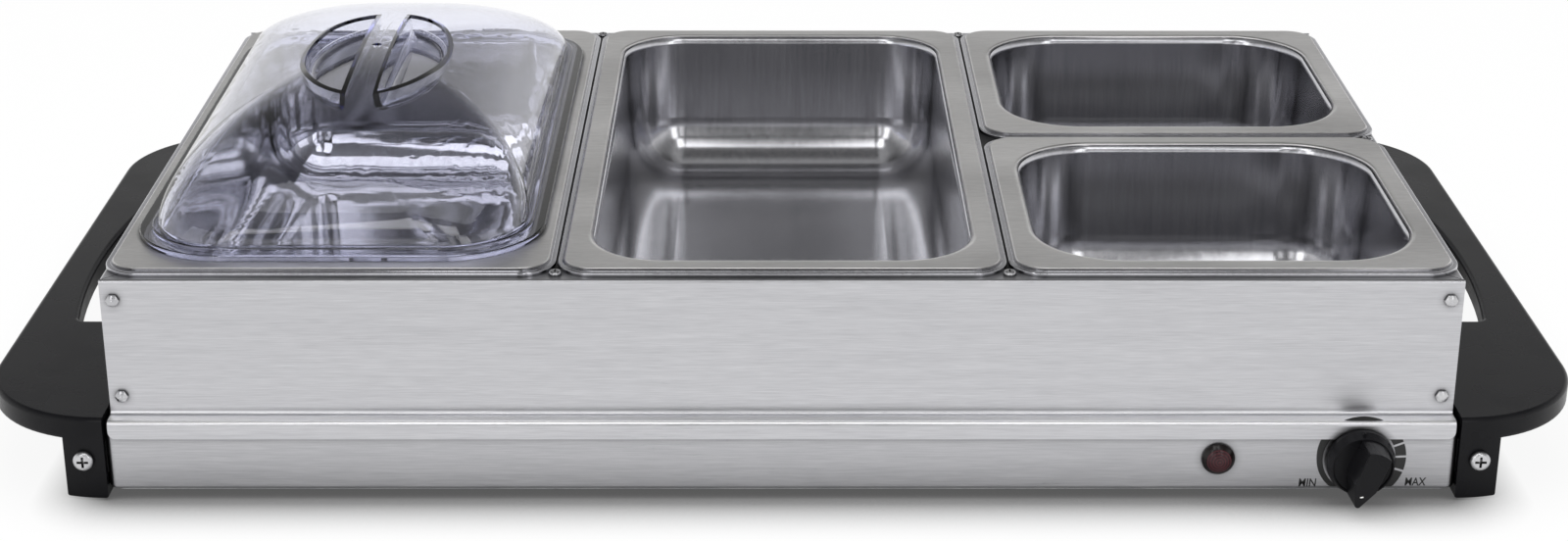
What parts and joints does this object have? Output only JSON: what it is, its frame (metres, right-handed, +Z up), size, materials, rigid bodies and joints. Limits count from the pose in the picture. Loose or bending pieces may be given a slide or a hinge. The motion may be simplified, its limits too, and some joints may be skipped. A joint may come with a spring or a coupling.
{
  "type": "electric food warmer tray",
  "caption": "Electric buffet server: a low warming base with end handles and a dial, a lift-off steel frame, lift-out food pans and a clear lift-off lid.",
  "frame": {"origin": "on the table, under the middle of the whole outline, knob and screw heads included; the body's own middle is 8.8 mm behind it, at Y = +0.0088", "axes": "+Z up, +X to the right-hand end along the longest side, -Y towards the control side"},
  "size_m": [0.642, 0.3684, 0.1355],
  "materials": {
    "brushed_steel": "brushed stainless sheet, grain along the length",
    "satin_steel": "satin pressed stainless sheet",
    "zinc_sheet": "galvanised sheet",
    "zinc_fasteners": "bright zinc plate",
    "black_plastic": "satin moulded",
    "clear_plastic": "clear polycarbonate, polished",
    "red_lens": "dark red clear moulding",
    "aluminium": "mill finish",
    "element_sheath": "dull heater sheath",
    "ceramic": "unglazed ceramic, taken as dense plastic",
    "wool_board": "pressed mineral wool",
    "white_plastic": "heat-proof moulded",
    "black_rubber": "plain"
  },
  "bodies": {
    "base": {"base_housing": "brushed_steel", "bottom_cover": "zinc_sheet", "cover_screws": "zinc_fasteners", "warming_plate": "satin_steel", "heat_spreader": "aluminium", "heating_element": "element_sheath", "element_clamps": "element_sheath", "insulation_board": "wool_board", "thermal_fuse": "white_plastic", "thermostat": "ceramic", "thermostat_nut": "zinc_fasteners", "indicator_lamp": "white_plastic", "lamp_lens": "red_lens", "lamp_clip": "zinc_fasteners", "cord_bushing": "black_rubber", "terminal_block": "ceramic", "handle_right": "black_plastic", "handle_left": "black_plastic", "handle_brackets": "zinc_sheet", "handle_screws": "zinc_fasteners", "foot_pads": "black_rubber"},
    "knob": {"thermostat_shaft": "zinc_fasteners", "control_knob": "black_plastic"},
    "pan_frame": {"frame_front_panel": "brushed_steel", "frame_rear_panel": "brushed_steel", "frame_right_panel": "brushed_steel", "frame_left_panel": "brushed_steel", "frame_bolts": "zinc_fasteners", "frame_nuts": "zinc_fasteners", "divider_left": "zinc_sheet", "divider_right": "zinc_sheet", "divider_cross": "zinc_sheet", "divider_screws": "zinc_fasteners", "divider_nuts": "zinc_fasteners"},
    "pan_left": {"pan_left": "satin_steel"},
    "pan_middle": {"pan_middle": "satin_steel"},
    "pan_right_rear": {"pan_right_rear": "satin_steel"},
    "pan_right_front": {"pan_right_front": "satin_steel"},
    "lid": {"lid": "clear_plastic"}
  },
  "joints": [
    {"name": "knob_turn", "type": "hinge", "parent": "base", "child": "knob", "pos_m": [0.2275, -0.1632, 0.0181], "axis": [0, 1, 0], "range_deg": [0, 295]},
    {"name": "frame_lift", "type": "slide", "parent": "base", "child": "pan_frame", "axis": [0, 0, 1], "range_m": [0, 0.15]},
    {"name": "pan_left_lift", "type": "slide", "parent": "pan_frame", "child": "pan_left", "axis": [0, 0, 1], "range_m": [0, 0.12]},
    {"name": "pan_middle_lift", "type": "slide", "parent": "pan_frame", "child": "pan_middle", "axis": [0, 0, 1], "range_m": [0, 0.12]},
    {"name": "pan_right_rear_lift", "type": "slide", "parent": "pan_frame", "child": "pan_right_rear", "axis": [0, 0, 1], "range_m": [0, 0.12]},
    {"name": "pan_right_front_lift", "type": "slide", "parent": "pan_frame", "child": "pan_right_front", "axis": [0, 0, 1], "range_m": [0, 0.12]},
    {"name": "lid_lift", "type": "slide", "parent": "pan_left", "child": "lid", "axis": [0, 0, 1], "range_m": [0, 0.12]}
  ]
}
